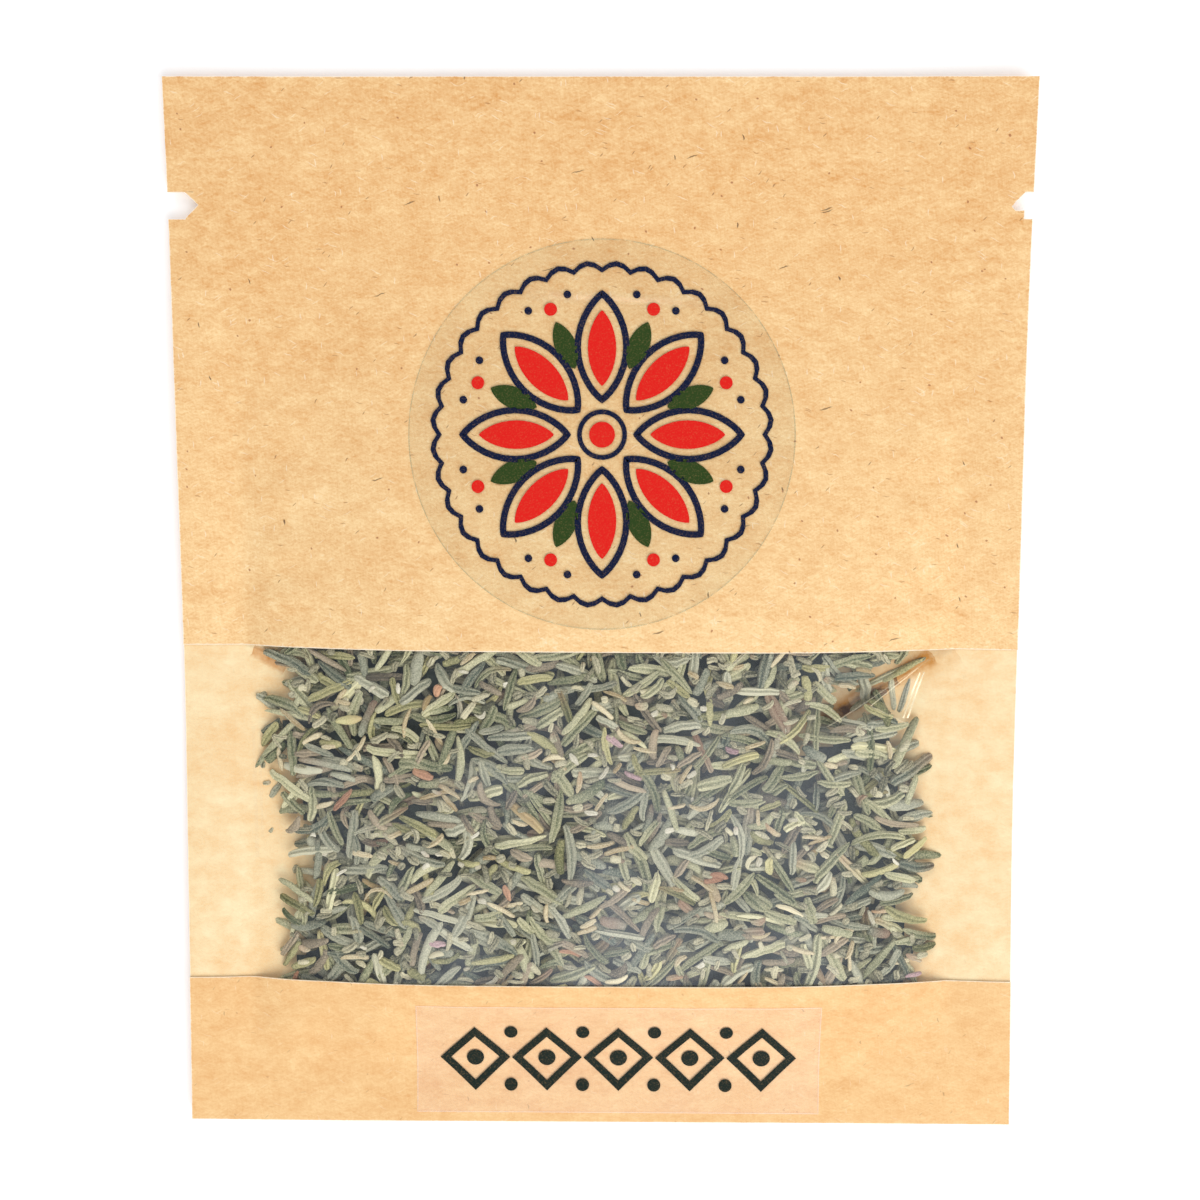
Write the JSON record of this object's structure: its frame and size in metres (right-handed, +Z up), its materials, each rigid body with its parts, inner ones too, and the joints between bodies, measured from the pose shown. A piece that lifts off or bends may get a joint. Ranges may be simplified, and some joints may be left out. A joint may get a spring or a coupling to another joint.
{
  "type": "kraft paper herb sachet",
  "caption": "Flat heat-sealed kraft paper sachet with a full-width clear window, tear notches and two clear labels, filled with dried thyme leaves.",
  "frame": {"origin": "middle of the bounding box's underside, on the surface that the sachet's back lies on", "axes": "+X across the sachet to the right seen from the front, +Y along it towards the top edge with the tear notches, +Z up out of the window"},
  "size_m": [0.1, 0.125, 0.0063],
  "materials": {
    "kraft_back": "matte",
    "kraft_upper": "matte",
    "kraft_lower": "matte",
    "clear_film": "clear gloss",
    "round_vinyl": "clear satin with print",
    "oblong_vinyl": "clear satin with print",
    "dried_thyme": "matte, dried leaf"
  },
  "bodies": {
    "root": {"back_panel": "kraft_back", "front_film": "clear_film", "front_upper_strip": "kraft_upper", "front_lower_strip": "kraft_lower", "round_label": "round_vinyl", "oblong_label": "oblong_vinyl", "leaf_fill": "dried_thyme"}
  },
  "joints": []
}
